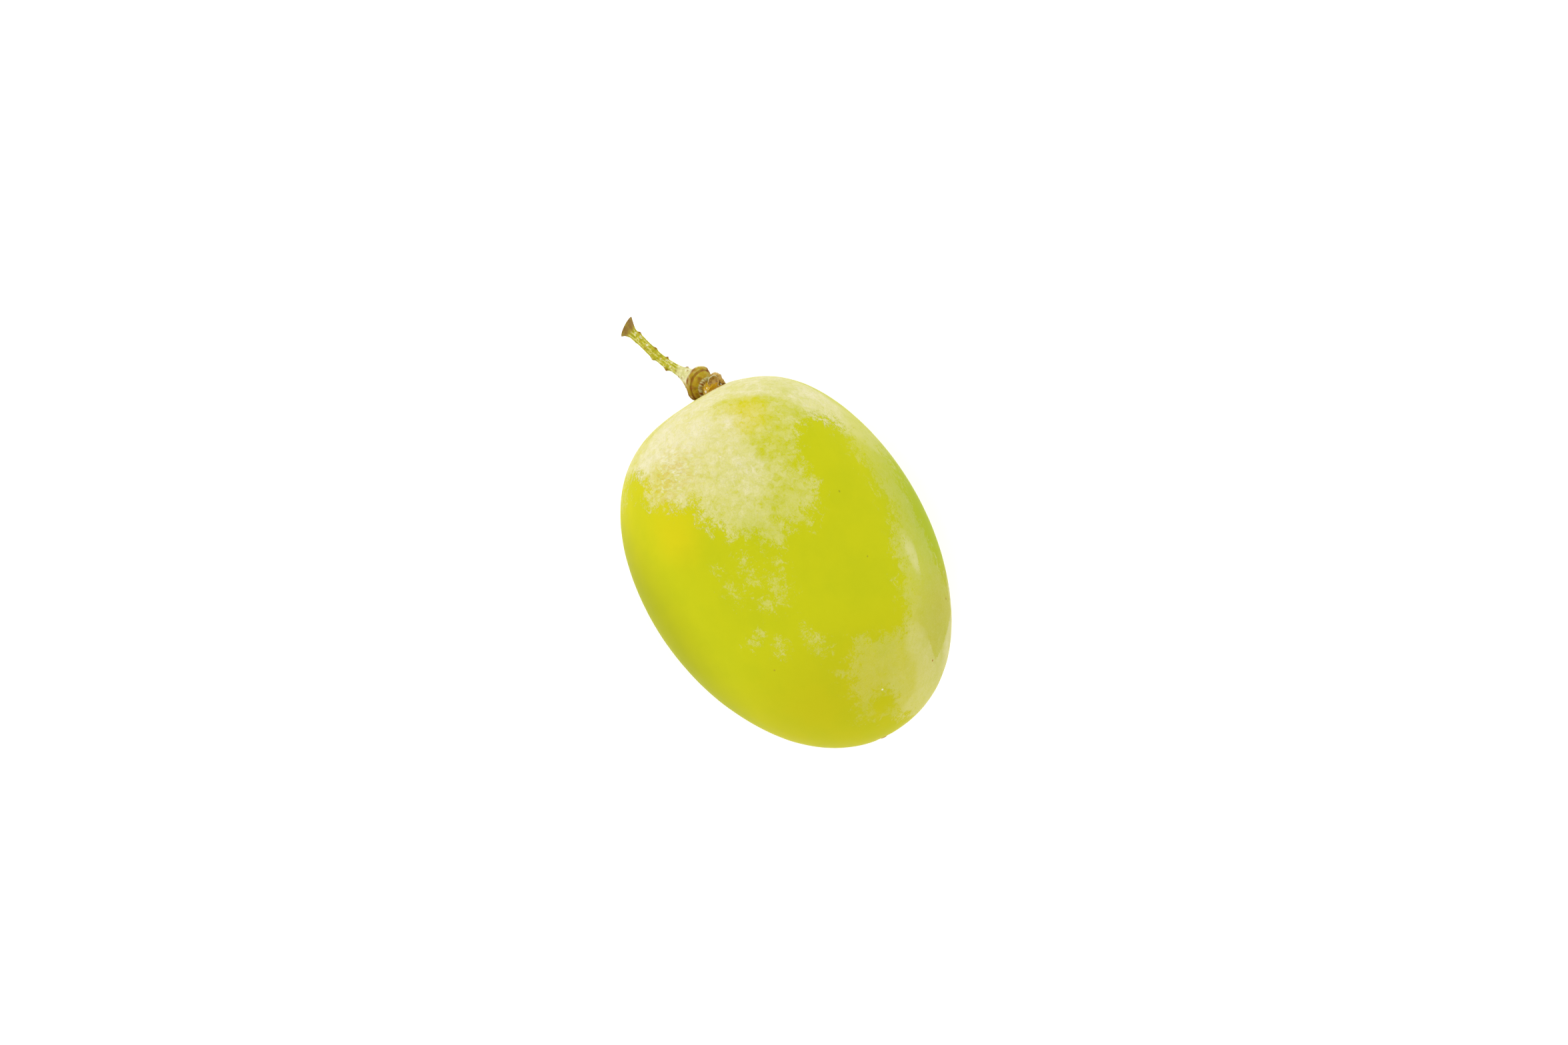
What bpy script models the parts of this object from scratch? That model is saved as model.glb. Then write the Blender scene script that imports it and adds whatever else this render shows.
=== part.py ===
"""One white table grape, picked with its stalk and lying on its side.

Three pieces: the berry, which is skin and flesh in one; the pedicel, which is the stalk with its
swollen receptacle at one end and the torn heel at the other; and a withered scale of the calyx that
clings to the receptacle. The berry rests at the origin on a small flat patch, its long axis along X,
with the stalk towards -X and the blossom tip towards +X.
"""

import math

import bmesh
import bpy
from mathutils import Matrix, Vector

MM = 0.001
WELD = 0.001 * MM  # points closer than this are one
CREASE = math.radians(30.0)  # edges sharper than this stay sharp when shaded

# Berry. Each half is a superellipse turned about X: (x / half)^along + (r / radius)^across = 1.
BERRY_WIDTH = 21.94 * MM
STEM_HALF = 13.5 * MM  # widest station to stem end
TIP_HALF = 15.4 * MM  # widest station to blossom tip
STEM_ALONG, STEM_ACROSS = 2.04, 2.82  # the stem end has full, flat shoulders
TIP_ALONG, TIP_ACROSS = 1.89, 2.155  # the tip is close to an ellipse
BERRY_BOW = 0.2 * MM  # both ends lie this far towards +Y of the middle
CONTACT_DEPTH = 0.15 * MM  # how far the flesh has flattened under its own weight
BERRY_MERIDIANS = 64
BERRY_RINGS = 40
POLE = 1e-6  # a point of the unit sphere this near its axis is a pole

# Where the stalk leaves the berry, off its long axis.
SEAT_OFFSET = 2.1 * MM
SEAT_GAP = 0.3 * MM  # clearance between the berry and whatever sits on it
SEAT_DEPTH = 1.5 * MM  # how far the neck runs in before it is trimmed to the berry

# Receptacle, a turned shape. Its axis leaves the berry sideways and drooping.
YAW = math.radians(25.0)  # from -X towards -Y
DROOP = math.radians(38.0)  # below level
NECK_RADIUS = 0.6 * MM
NECK_HEIGHT = 0.6 * MM  # seat to the underside of the dish
DISH_RADIUS = 1.15 * MM
RIM_RADIUS = 1.45 * MM
RIM_THICKNESS = 0.3 * MM
RIM_HEIGHT = 1.6 * MM  # seat to the top of the rim
FLARE_LENGTH = 2.4 * MM
FLARE_HOLLOW = 2.4  # the higher, the more trumpet-like the flare
FLARE_STEPS = 8
TURN_STEPS = 32

# Stalk, from inside the flare out to the torn heel.
STALK_RADIUS = 0.4 * MM
STALK_OVERLAP = 0.6 * MM  # how far it runs into the flare
STALK_BEVEL = 5
STALK_SPANS = 5
HEEL_RADIUS = 0.8 * MM
HEEL_LENGTH = 0.95 * MM
# Bends of the stalk's centre line and the heel's end, measured from the top of the flare.
STALK_BENDS = [
    Vector((-0.84, -0.42, -0.40)) * MM,
    Vector((-2.40, -0.92, -0.85)) * MM,
]
HEEL_AT = Vector((-4.87, -1.68, -1.35)) * MM

# Withered calyx scale, a small cup against the neck.
SCALE_RADIUS = 0.42 * MM
SCALE_THICKNESS = 0.14 * MM
SCALE_CUP = math.radians(58.0)  # half angle of the cup about its own centre
SCALE_TURN = math.radians(50.0)  # where it stands round the neck, up from the +Y side
SCALE_FACES = Vector((0.30, 0.25, 0.92))  # the way its open side looks
SCALE_MERIDIANS = 20
SCALE_RINGS = 16


def material(name, colour, roughness):
    """A plain Principled material."""
    made = bpy.data.materials.new(name)
    made.use_nodes = True
    shader = made.node_tree.nodes["Principled BSDF"]
    shader.inputs["Base Color"].default_value = (*colour, 1.0)
    shader.inputs["Roughness"].default_value = roughness
    shader.inputs["Metallic"].default_value = 0.0
    return made


def place(name, mesh, collection, finish=None):
    """An object for a mesh, in a collection."""
    obj = bpy.data.objects.new(name, mesh)
    collection.objects.link(obj)
    if finish is not None:
        mesh.materials.append(finish)
    return obj


def as_helper(obj):
    """Marks a cutter or a piece to be joined, which is no part of the object by itself."""
    obj.hide_render = True
    obj.display_type = "WIRE"
    return obj


def axis_height():
    """Height of the berry's long axis above what it rests on."""
    return BERRY_WIDTH / 2 - CONTACT_DEPTH


def berry_end(towards_tip):
    """Length and exponents of one half of the berry."""
    if towards_tip:
        return TIP_HALF, TIP_ALONG, TIP_ACROSS
    return STEM_HALF, STEM_ALONG, STEM_ACROSS


def bow_at(x, half):
    """Sideways shift of the berry's axis at a station along it."""
    return BERRY_BOW * (x / half) ** 2


def on_berry(unit, grow):
    """The point of the berry, grown all round, that a point of the unit sphere stands for."""
    half, along, across = berry_end(unit.x > 0)
    off_axis = math.hypot(unit.y, unit.z)
    x = math.copysign((half + grow) * abs(unit.x) ** (2 / along), unit.x)
    if off_axis < POLE:
        return Vector((x, bow_at(x, half), axis_height()))
    radius = (BERRY_WIDTH / 2 + grow) * off_axis ** (2 / across)
    y = radius * unit.y / off_axis + bow_at(x, half)
    z = radius * unit.z / off_axis + axis_height()
    return Vector((x, y, z))


def berry_mesh(name, grow):
    """The berry's whole form, before it is flattened where it rests."""
    mesh = bpy.data.meshes.new(name)
    cage = bmesh.new()
    bmesh.ops.create_uvsphere(
        cage,
        u_segments=BERRY_MERIDIANS,
        v_segments=BERRY_RINGS,
        radius=1.0,
        matrix=Matrix.Rotation(math.pi / 2, 4, "Y"),
    )
    for vertex in cage.verts:
        vertex.co = on_berry(vertex.co.normalized(), grow)
    cage.to_mesh(mesh)
    cage.free()
    return mesh


def flatten_underside(mesh):
    """Cuts the mesh off at the plane it rests on, and closes the cut with one flat face."""
    cage = bmesh.new()
    cage.from_mesh(mesh)
    everything = [*cage.verts, *cage.edges, *cage.faces]
    bmesh.ops.bisect_plane(
        cage,
        geom=everything,
        dist=WELD,
        plane_co=(0, 0, 0),
        plane_no=(0, 0, -1),
        clear_outer=True,
    )
    open_edges = [edge for edge in cage.edges if edge.is_boundary]
    bmesh.ops.edgeloop_fill(cage, edges=open_edges)
    bmesh.ops.recalc_face_normals(cage, faces=cage.faces)
    cage.to_mesh(mesh)
    cage.free()


def build_berry(collection):
    """The fruit: skin and flesh are one solid."""
    skin = material("berry_skin", (0.58, 0.60, 0.02), 0.38)
    mesh = berry_mesh("berry", 0.0)
    flatten_underside(mesh)
    obj = place("berry", mesh, collection, skin)
    mesh.shade_smooth()
    mesh.set_sharp_from_angle(angle=CREASE)
    return obj


def seat_point():
    """Where the stalk's axis meets the berry's stem end."""
    from_axis = abs(SEAT_OFFSET - BERRY_BOW) / (BERRY_WIDTH / 2)
    x = -STEM_HALF * (1 - from_axis**STEM_ACROSS) ** (1 / STEM_ALONG)
    return Vector((x, SEAT_OFFSET, axis_height()))


def outward():
    """Direction of the receptacle's axis, from the berry to the stalk."""
    level = Vector((-math.cos(YAW), -math.sin(YAW), 0.0))
    return level * math.cos(DROOP) + Vector((0.0, 0.0, -math.sin(DROOP)))


def flare_top():
    """Where the flare ends and the bare stalk goes on, measured from the seat."""
    return outward() * (RIM_HEIGHT + FLARE_LENGTH)


def receptacle_profile():
    """Radius and height along the receptacle's outer side, from its top down."""
    top = RIM_HEIGHT + FLARE_LENGTH
    profile = [(0.0, top)]
    for step in range(FLARE_STEPS + 1):
        share = step / FLARE_STEPS
        radius = STALK_RADIUS + (RIM_RADIUS - STALK_RADIUS) * share**FLARE_HOLLOW
        profile.append((radius, top - FLARE_LENGTH * share))
    profile += [
        (RIM_RADIUS, RIM_HEIGHT - RIM_THICKNESS),
        (DISH_RADIUS, NECK_HEIGHT),
        (NECK_RADIUS, NECK_HEIGHT),
        (NECK_RADIUS, -SEAT_DEPTH),
        (0.0, -SEAT_DEPTH),
    ]
    return profile


def build_receptacle(helpers, seat):
    """The swollen end of the stalk, turned about its own axis."""
    points = [(radius, 0.0, height) for radius, height in receptacle_profile()]
    edges = [(i, i + 1) for i in range(len(points) - 1)]
    mesh = bpy.data.meshes.new("receptacle_form")
    mesh.from_pydata(points, edges, [])
    obj = as_helper(place("receptacle_form", mesh, helpers))
    turn = obj.modifiers.new("turn", "SCREW")
    turn.steps = TURN_STEPS
    turn.render_steps = TURN_STEPS
    turn.use_merge_vertices = True
    turn.merge_threshold = WELD
    obj.rotation_mode = "QUATERNION"
    obj.rotation_quaternion = outward().to_track_quat("Z", "Y")
    obj.parent = seat
    return obj


def stalk_curve(helpers, seat):
    """The stalk's tube: even for most of its length, then flaring into the torn heel."""
    curve = bpy.data.curves.new("stalk_line", "CURVE")
    curve.dimensions = "3D"
    curve.bevel_depth = STALK_RADIUS
    curve.bevel_resolution = STALK_BEVEL
    curve.resolution_u = STALK_SPANS
    curve.use_fill_caps = True
    along_heel = (HEEL_AT - STALK_BENDS[-1]).normalized() * HEEL_LENGTH
    stations = [(outward() * -STALK_OVERLAP, 1.0), (Vector(), 1.0)]
    stations += [(bend, 1.0) for bend in STALK_BENDS]
    stations += [(HEEL_AT - along_heel, 1.0), (HEEL_AT, HEEL_RADIUS / STALK_RADIUS)]
    spline = curve.splines.new("BEZIER")
    spline.radius_interpolation = "EASE"
    spline.bezier_points.add(len(stations) - 1)
    for point, (offset, width) in zip(spline.bezier_points, stations):
        point.co = flare_top() + offset
        point.radius = width
        point.handle_left_type = "AUTO"
        point.handle_right_type = "AUTO"
    obj = bpy.data.objects.new("stalk_line", curve)
    helpers.objects.link(obj)
    obj.parent = seat
    return obj


def curve_as_mesh(curve_object, name):
    """A closed mesh of a curve object, which is then removed."""
    bpy.context.view_layer.update()
    graph = bpy.context.evaluated_depsgraph_get()
    mesh = bpy.data.meshes.new_from_object(curve_object.evaluated_get(graph))
    mesh.name = name
    cage = bmesh.new()
    cage.from_mesh(mesh)
    bmesh.ops.remove_doubles(cage, verts=cage.verts, dist=WELD)
    bmesh.ops.recalc_face_normals(cage, faces=cage.faces)
    cage.to_mesh(mesh)
    cage.free()
    return mesh


def boolean(obj, other, operation):
    """Joins another object to this one, or cuts it away."""
    step = obj.modifiers.new(f"{operation.lower()}_{other.name}", "BOOLEAN")
    step.operation = operation
    step.solver = "EXACT"
    step.object = other


def build_pedicel(collection, helpers, seat):
    """Stalk and receptacle in one piece, trimmed to sit on the berry."""
    bark = material("pedicel_bark", (0.45, 0.42, 0.08), 0.55)
    receptacle = build_receptacle(helpers, seat)
    tube = stalk_curve(helpers, seat)
    mesh = curve_as_mesh(tube, "pedicel")
    mesh.materials.clear()
    obj = place("pedicel", mesh, collection, bark)
    obj.matrix_world = tube.matrix_world
    bpy.data.objects.remove(tube)
    berry_form = as_helper(place("berry_form", berry_mesh("berry_form", SEAT_GAP), helpers))
    boolean(obj, receptacle, "UNION")
    boolean(obj, berry_form, "DIFFERENCE")
    mesh.shade_smooth()
    mesh.set_sharp_from_angle(angle=CREASE)
    return obj


def scale_place():
    """Centre of the scale's cup from the seat, where it clears both the neck and the berry."""
    side = Vector((-math.sin(YAW), math.cos(YAW), 0.0))
    away = side * math.cos(SCALE_TURN) + side.cross(outward()) * math.sin(SCALE_TURN)
    neck_clear = NECK_RADIUS + SEAT_GAP + SCALE_THICKNESS + SCALE_RADIUS * math.sin(SCALE_CUP)
    berry_clear = SEAT_GAP + SCALE_RADIUS
    beside = away * neck_clear
    return beside + outward() * (-berry_clear - beside.x) / outward().x


def build_scale(collection, seat):
    """The withered calyx scale: a cap of a sphere with a wall of its own."""
    dry = material("calyx_dry", (0.55, 0.42, 0.22), 0.6)
    mesh = bpy.data.meshes.new("calyx_scale")
    cage = bmesh.new()
    bmesh.ops.create_uvsphere(
        cage, u_segments=SCALE_MERIDIANS, v_segments=SCALE_RINGS, radius=SCALE_RADIUS
    )
    bmesh.ops.bisect_plane(
        cage,
        geom=[*cage.verts, *cage.edges, *cage.faces],
        dist=WELD,
        plane_co=(0, 0, -SCALE_RADIUS * math.cos(SCALE_CUP)),
        plane_no=(0, 0, 1),
        clear_outer=True,
    )
    cage.to_mesh(mesh)
    cage.free()
    obj = place("calyx_scale", mesh, collection, dry)
    wall = obj.modifiers.new("wall", "SOLIDIFY")
    wall.thickness = SCALE_THICKNESS
    wall.offset = -1.0
    obj.location = scale_place()
    obj.rotation_mode = "QUATERNION"
    obj.rotation_quaternion = SCALE_FACES.to_track_quat("Z", "Y")
    obj.parent = seat
    mesh.shade_smooth()
    return obj


def build_grape():
    """Clears the scene and models the grape."""
    for obj in list(bpy.data.objects):
        bpy.data.objects.remove(obj)
    grape = bpy.data.collections.new("table_grape")
    helpers = bpy.data.collections.new("cutters")
    for collection in (grape, helpers):
        bpy.context.scene.collection.children.link(collection)
    seat = bpy.data.objects.new("stem_seat", None)
    seat.location = seat_point()
    grape.objects.link(seat)
    build_berry(grape)
    build_pedicel(grape, helpers, seat)
    build_scale(grape, seat)


build_grape()
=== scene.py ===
"""The looks of one green table grape, lying on its side with its short stalk still on.

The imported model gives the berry's size and place. The berry, its stalk and the withered calyx
are built again here as fine meshes of the same form, dressed as living skin, wax, bark and dry
leaf, and set on a pale floor in soft studio light.
"""

from __future__ import annotations

import logging
import math
from dataclasses import dataclass
from enum import Enum

import bpy
import numpy as np
from mathutils import Matrix, Vector, noise


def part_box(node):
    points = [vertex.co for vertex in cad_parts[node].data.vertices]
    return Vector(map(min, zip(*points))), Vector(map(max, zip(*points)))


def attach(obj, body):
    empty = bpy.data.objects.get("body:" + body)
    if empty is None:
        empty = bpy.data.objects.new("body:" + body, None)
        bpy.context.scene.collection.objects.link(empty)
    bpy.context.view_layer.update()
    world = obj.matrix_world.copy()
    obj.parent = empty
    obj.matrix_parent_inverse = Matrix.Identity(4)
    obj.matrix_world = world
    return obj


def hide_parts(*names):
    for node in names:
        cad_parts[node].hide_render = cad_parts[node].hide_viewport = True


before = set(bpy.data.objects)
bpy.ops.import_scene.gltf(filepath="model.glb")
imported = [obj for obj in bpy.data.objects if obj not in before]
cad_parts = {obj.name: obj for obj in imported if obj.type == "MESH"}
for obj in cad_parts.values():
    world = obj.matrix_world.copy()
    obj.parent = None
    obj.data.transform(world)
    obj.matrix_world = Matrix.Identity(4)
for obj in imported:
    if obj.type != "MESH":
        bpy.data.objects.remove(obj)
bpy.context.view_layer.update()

MM = 0.001
BODY = "root"
UP = Vector((0.0, 0.0, 1.0))
# How much more light falls on the grape than on a white card that just looks white. The finishes
# divide their colours by it, so that each one looks as its hex colour says.
LIGHT = 1.36

log = logging.getLogger("table_grape")


# ---------------------------------------------------------------- small tools


def linear(hex_colour: str, share: float = 1.0) -> tuple[float, float, float, float]:
    """Turns an sRGB hex colour into a linear one.

    Args:
        hex_colour: the colour as #rrggbb.
        share: how much of its light is kept.

    Returns:
        Red, green, blue and alpha as Blender's sockets take them.
    """
    parts = [int(hex_colour[i : i + 2], 16) / 255 for i in (1, 3, 5)]
    curve = [c / 12.92 if c <= 0.04045 else ((c + 0.055) / 1.055) ** 2.4 for c in parts]
    return (*(c * share for c in curve), 1.0)


def add(
    tree: bpy.types.NodeTree,
    kind: str,
    *feeds: object,
    named: dict[str, object] | None = None,
    **settings: object,
) -> bpy.types.NodeSocket | None:
    """Adds one node with its settings and links.

    Args:
        tree: the material's node tree.
        kind: the node's type, without the ShaderNode at its start.
        feeds: a value or another node's output for each input in use, in order.
        named: the same for inputs that go by name.
        settings: the node's own options.

    Returns:
        The node's first output in use.
    """
    node = tree.nodes.new("ShaderNode" + kind)
    for option, choice in settings.items():
        setattr(node, option, choice)
    fed = list(zip([socket for socket in node.inputs if socket.enabled], feeds))
    fed += [(node.inputs[name], value) for name, value in (named or {}).items()]
    for socket, value in fed:
        if isinstance(value, bpy.types.NodeSocket):
            tree.links.new(value, socket)
        else:
            socket.default_value = value
    return next((socket for socket in node.outputs if socket.enabled), None)


def empty_material(name: str) -> tuple[bpy.types.Material, bpy.types.NodeTree]:
    """Makes a material without nodes and returns it with its tree."""
    material = bpy.data.materials.new(name)
    material.use_nodes = True
    material.node_tree.nodes.clear()
    return material, material.node_tree


def place_in_mm(tree: bpy.types.NodeTree) -> bpy.types.NodeSocket:
    """Reads each point's place in millimetres, so that noise is sized as the real thing."""
    metres = add(tree, "TexCoord").node.outputs["Object"]
    return add(tree, "VectorMath", metres, 1 / MM, operation="SCALE")


def mesh_object(
    name: str,
    points: np.ndarray,
    faces: list[tuple[int, ...]],
    values: dict[str, np.ndarray] | None = None,
) -> bpy.types.Object:
    """Makes a smooth-shaded mesh object in the scene.

    Args:
        name: the piece's name.
        points: one row of x, y and z in metres for each vertex.
        faces: vertex numbers of each face, counter-clockwise seen from outside.
        values: named numbers, one for each vertex, that its material reads.

    Returns:
        The new object, at the origin.
    """
    mesh = bpy.data.meshes.new(name)
    mesh.from_pydata(points.tolist(), [], faces)
    for attribute, numbers in (values or {}).items():
        layer = mesh.attributes.new(attribute, "FLOAT", "POINT")
        layer.data.foreach_set("value", np.asarray(numbers, dtype=np.float32))
    mesh.shade_smooth()
    mesh.update()
    obj = bpy.data.objects.new(name, mesh)
    bpy.context.scene.collection.objects.link(obj)
    return obj


def dress(
    obj: bpy.types.Object, material: bpy.types.Material, nodes: tuple[str, ...] = ()
) -> bpy.types.Object:
    """Finishes a piece.

    Args:
        obj: the piece.
        material: what it is made of.
        nodes: the CAD nodes that it stands for.

    Returns:
        The piece, riding on the body.
    """
    obj.data.materials.append(material)
    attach(obj, BODY)
    if nodes:
        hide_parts(*nodes)
    return obj


def clamp(share: float) -> float:
    """Limits a share to no less than 0 and no more than 1."""
    return min(1.0, max(0.0, share))


def turns(count: int) -> np.ndarray:
    """Gives the angles in radians of vertices spaced evenly round a ring."""
    return np.linspace(0.0, 2 * math.pi, count, endpoint=False)


def tube_faces(rows: int, columns: int, capped: bool = False) -> list[tuple[int, ...]]:
    """Lists the faces of a tube of vertex rings, wound so that they look outwards.

    Args:
        rows: how many rings of vertices there are.
        columns: how many vertices there are in each ring.
        capped: whether the tube's two ends are closed.

    Returns:
        The quads between the rings, then the triangles over the ends.
    """
    faces = []
    for row in range(rows - 1):
        for column in range(columns):
            beside = (column + 1) % columns
            here, there = row * columns, (row + 1) * columns
            faces.append((here + column, here + beside, there + beside, there + column))
    if capped:
        last = (rows - 1) * columns
        for column in range(1, columns - 1):
            faces.append((0, column + 1, column))
            faces.append((last, last + column, last + column + 1))
    return faces


def curve_through(knots: list[np.ndarray], steps: int) -> np.ndarray:
    """Draws a smooth curve through points.

    Args:
        knots: the points that it passes through.
        steps: how many points are made for each stretch between two knots.

    Returns:
        Points along the curve.
    """
    knots = [2 * knots[0] - knots[1], *knots, 2 * knots[-1] - knots[-2]]
    points = []
    for before, start, end, after in zip(knots, knots[1:], knots[2:], knots[3:]):
        for t in np.linspace(0.0, 1.0, steps, endpoint=False):
            bend = (2 * before - 5 * start + 4 * end - after) * t**2
            twist = (3 * start - before - 3 * end + after) * t**3
            points.append((2 * start + (end - before) * t + bend + twist) / 2)
    return np.array([*points, knots[-2]])


# ---------------------------------------------------------------- the berry


@dataclass(frozen=True)
class Spot:
    """A roundish patch of the berry's skin.

    Attributes:
        x: mm along the berry from its widest place, positive to the tip.
        y: mm to its side, positive to the stalk's side.
        along: half its length in mm.
        across: half its width in mm.
        amount: how thick or how strong it is.
        under: whether it lies on the underside.
    """

    x: float
    y: float
    along: float
    across: float
    amount: float = 1.0
    under: bool = False

    def share(self, points: np.ndarray, form: "Berry") -> np.ndarray:
        """Measures how far points are from its middle, 1 being its edge.

        Args:
            points: rows of x, y and z in mm.
            form: the berry that it lies on.

        Returns:
            The distance for each point, in shares of its half size.
        """
        offset = points - form.on_skin(self.x, self.y, self.under)
        across = np.hypot(offset[:, 1], offset[:, 2])
        return np.hypot(offset[:, 0] / self.along, across / self.across)

    def inset(self, points: np.ndarray, form: "Berry") -> np.ndarray:
        """Measures in mm how far points lie inside its edge, negative outside."""
        return (1 - self.share(points, form)) * min(self.along, self.across)


@dataclass(frozen=True)
class Outline:
    """A patch of any shape on the berry's upper side, as it is seen from above.

    Attributes:
        corners: its corners in order, each as mm along the berry and mm to its side.
    """

    corners: tuple[tuple[float, float], ...]

    def inset(self, points: np.ndarray) -> np.ndarray:
        """Measures how far points lie inside the outline.

        Args:
            points: rows of x, y and z in mm.

        Returns:
            The distance in mm for each point, negative outside.
        """
        x, y = points[:, 0], points[:, 1]
        nearest = np.full(len(points), np.inf)
        inside = np.zeros(len(points), dtype=bool)
        for (x0, y0), (x1, y1) in zip(self.corners, self.corners[1:] + self.corners[:1]):
            run, rise = x1 - x0, y1 - y0
            share = np.clip(((x - x0) * run + (y - y0) * rise) / (run**2 + rise**2), 0, 1)
            nearest = np.minimum(nearest, np.hypot(x - x0 - share * run, y - y0 - share * rise))
            if rise:
                crossed = (y0 > y) != (y1 > y)
                inside ^= crossed & (x < x0 + (y - y0) * run / rise)
        return np.where(inside, nearest, -nearest)


@dataclass(frozen=True)
class Bloom:
    """The dust of wax that the berry grew, and where handling has rubbed it off.

    Attributes:
        cover: the large coat over the stalk's end and one flank.
        thin: flat film with a crisp edge, where the coat has slid.
        islands: small coats of their own.
        rubbed: bare places in the coat.
        thickness: how thick the wax is round each of these places.
        usual: thickness of the wax away from them.
        usual_weight: how much that counts against a place's own thickness, which counts 1.
        retreat_from: mm below the berry's middle at which the wax starts to draw back.
        retreat: mm by which the coat draws back for each mm below that.
        film_retreat: the same for the thin film.
    """

    cover: Outline = Outline(
        (
            (-9.2, -10.5), (-9.7, -8.1), (-10.6, -7.6), (-11.3, -6.8), (-10.9, -6.0),
            (-10.0, -5.9), (-8.6, -6.4), (-8.0, -5.6), (-7.6, -5.0), (-6.9, -4.2),
            (-6.7, -3.3), (-5.6, -3.6), (-4.6, -3.4), (-4.2, -2.6), (-3.2, -2.4),
            (-2.6, -1.0), (-1.5, -0.6), (-1.0, 0.2), (-1.3, 1.1), (-2.4, 1.4),
            (-1.6, 2.3), (-0.9, 3.0), (-2.2, 3.4), (-1.8, 4.2), (-3.4, 4.9),
            (-5.0, 4.8), (-6.9, 5.2), (-7.6, 6.0), (-7.6, 7.2), (-6.9, 8.0),
            (-5.4, 8.6), (-3.6, 8.3), (-2.8, 8.7), (-1.2, 8.4), (0.4, 8.8),
            (2.0, 8.2), (3.4, 7.4), (5.0, 6.8), (6.6, 5.8), (8.2, 5.1),
            (9.0, 4.5), (8.8, 3.6), (8.2, 2.2), (7.7, 1.2), (8.7, 0.3),
            (9.3, -0.6), (10.4, -0.7), (11.6, -1.4), (12.9, -1.7), (13.4, -0.8),
            (14.2, 0.2), (15.0, 1.4), (16.5, 2.5), (16.5, 14.0), (-16.5, 14.0),
            (-16.5, -10.5),
        )
    )
    thin: Outline = Outline(
        (
            (2.9, 9.3), (4.8, 9.2), (8.0, 9.1), (10.0, 8.4), (11.0, 7.4), (11.9, 6.3),
            (12.4, 5.4), (11.2, 5.7), (10.2, 6.0), (9.2, 5.8), (8.0, 6.9), (6.4, 7.8),
            (4.6, 8.5),
        )
    )
    islands: tuple[Spot, ...] = (
        Spot(1.7, -1.6, 1.3, 0.8, 0.8),
        Spot(0.3, -0.6, 1.3, 0.45, 0.7),
        Spot(2.1, -2.8, 0.8, 0.7, 0.8),
        Spot(-0.6, -2.8, 0.9, 0.45, 0.9),
        Spot(0.1, -4.5, 0.8, 0.45, 0.9),
        Spot(-1.7, -4.6, 0.6, 0.3, 0.7),
        Spot(3.8, -4.8, 0.35, 0.6, 0.9),
        Spot(5.1, -3.7, 0.7, 0.5, 0.9),
        Spot(6.4, -1.3, 1.3, 0.55, 0.9),
        Spot(9.4, -1.0, 0.6, 0.5, 0.8),
        Spot(-9.6, -6.0, 3.2, 3.6, under=True),
        Spot(-6.4, -6.4, 2.6, 2.2, under=True),
        Spot(-3.8, -5.0, 2.4, 1.6, under=True),
        Spot(7.6, -4.4, 2.6, 2.2, 0.8, under=True),
        Spot(10.4, -2.6, 2.6, 2.4, under=True),
        Spot(2.0, -1.0, 4.0, 2.6, under=True),
        Spot(-6.0, 2.0, 4.4, 3.2, under=True),
        Spot(-12.0, -2.0, 2.8, 3.4, under=True),
    )
    rubbed: tuple[Spot, ...] = (
        Spot(3.8, 10.3, 5.6, 1.6),
        Spot(12.9, 0.3, 1.0, 0.9),
        Spot(1.5, 8.0, 5.0, 2.4, under=True),
    )
    thickness: tuple[Spot, ...] = (
        Spot(-13.0, -4.0, 1.2, 1.5, 0.44),
        Spot(-11.6, -2.0, 1.7, 2.2, 0.76),
        Spot(-10.8, 0.3, 1.6, 1.3, 0.70),
        Spot(-9.5, -4.8, 1.2, 1.4, 0.32),
        Spot(-9.0, -1.4, 1.6, 2.0, 0.48),
        Spot(-8.0, 0.6, 1.4, 1.0, 0.50),
        Spot(-6.4, -1.0, 1.5, 1.6, 0.37),
        Spot(-5.4, 0.3, 1.4, 0.9, 0.44),
        Spot(-3.4, 0.6, 1.4, 1.6, 0.19),
        Spot(-3.6, 3.0, 1.3, 1.0, 0.20),
        Spot(-12.9, 2.6, 0.9, 0.9, 0.70),
        Spot(-11.6, 2.0, 0.7, 0.8, 0.18),
        Spot(-10.7, 4.1, 0.8, 0.7, 0.13),
        Spot(-9.4, 3.2, 1.0, 0.8, 0.26),
        Spot(-8.6, 4.4, 0.9, 0.7, 0.14),
        Spot(-6.6, 3.6, 1.0, 0.7, 0.20),
        Spot(-9.2, 5.8, 1.3, 0.7, 0.20),
        Spot(-12.3, 5.0, 1.0, 1.4, 0.60),
        Spot(-11.0, 6.6, 1.0, 1.1, 0.50),
        Spot(-9.4, 7.8, 1.5, 1.0, 0.66),
        Spot(-7.2, 8.8, 1.5, 1.0, 0.56),
        Spot(-5.2, 9.6, 1.3, 1.0, 0.26),
        Spot(-2.6, 9.2, 2.0, 1.0, 0.09),
        Spot(1.0, 9.2, 2.6, 1.2, 0.11),
        Spot(4.8, 8.1, 1.5, 0.35, 0.40),
        Spot(7.5, 6.8, 1.6, 1.0, 0.12),
        Spot(9.6, 9.2, 2.0, 0.7, 0.42),
        Spot(12.0, 7.0, 1.4, 0.9, 0.42),
        Spot(10.4, 4.8, 1.3, 0.6, 0.26),
        Spot(12.6, 4.6, 1.2, 0.8, 0.30),
        Spot(14.2, 3.6, 1.0, 1.2, 0.26),
        Spot(9.8, 2.2, 1.6, 2.0, 0.10),
        Spot(12.6, 2.2, 1.4, 0.9, 0.15),
        Spot(12.9, 0.2, 1.2, 0.9, 0.05),
        Spot(11.2, 0.4, 1.0, 1.0, 0.09),
    )
    usual: float = 0.17
    usual_weight: float = 0.004
    retreat_from: float = 0.8
    retreat: float = 0.6
    film_retreat: float = 2.0

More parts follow.
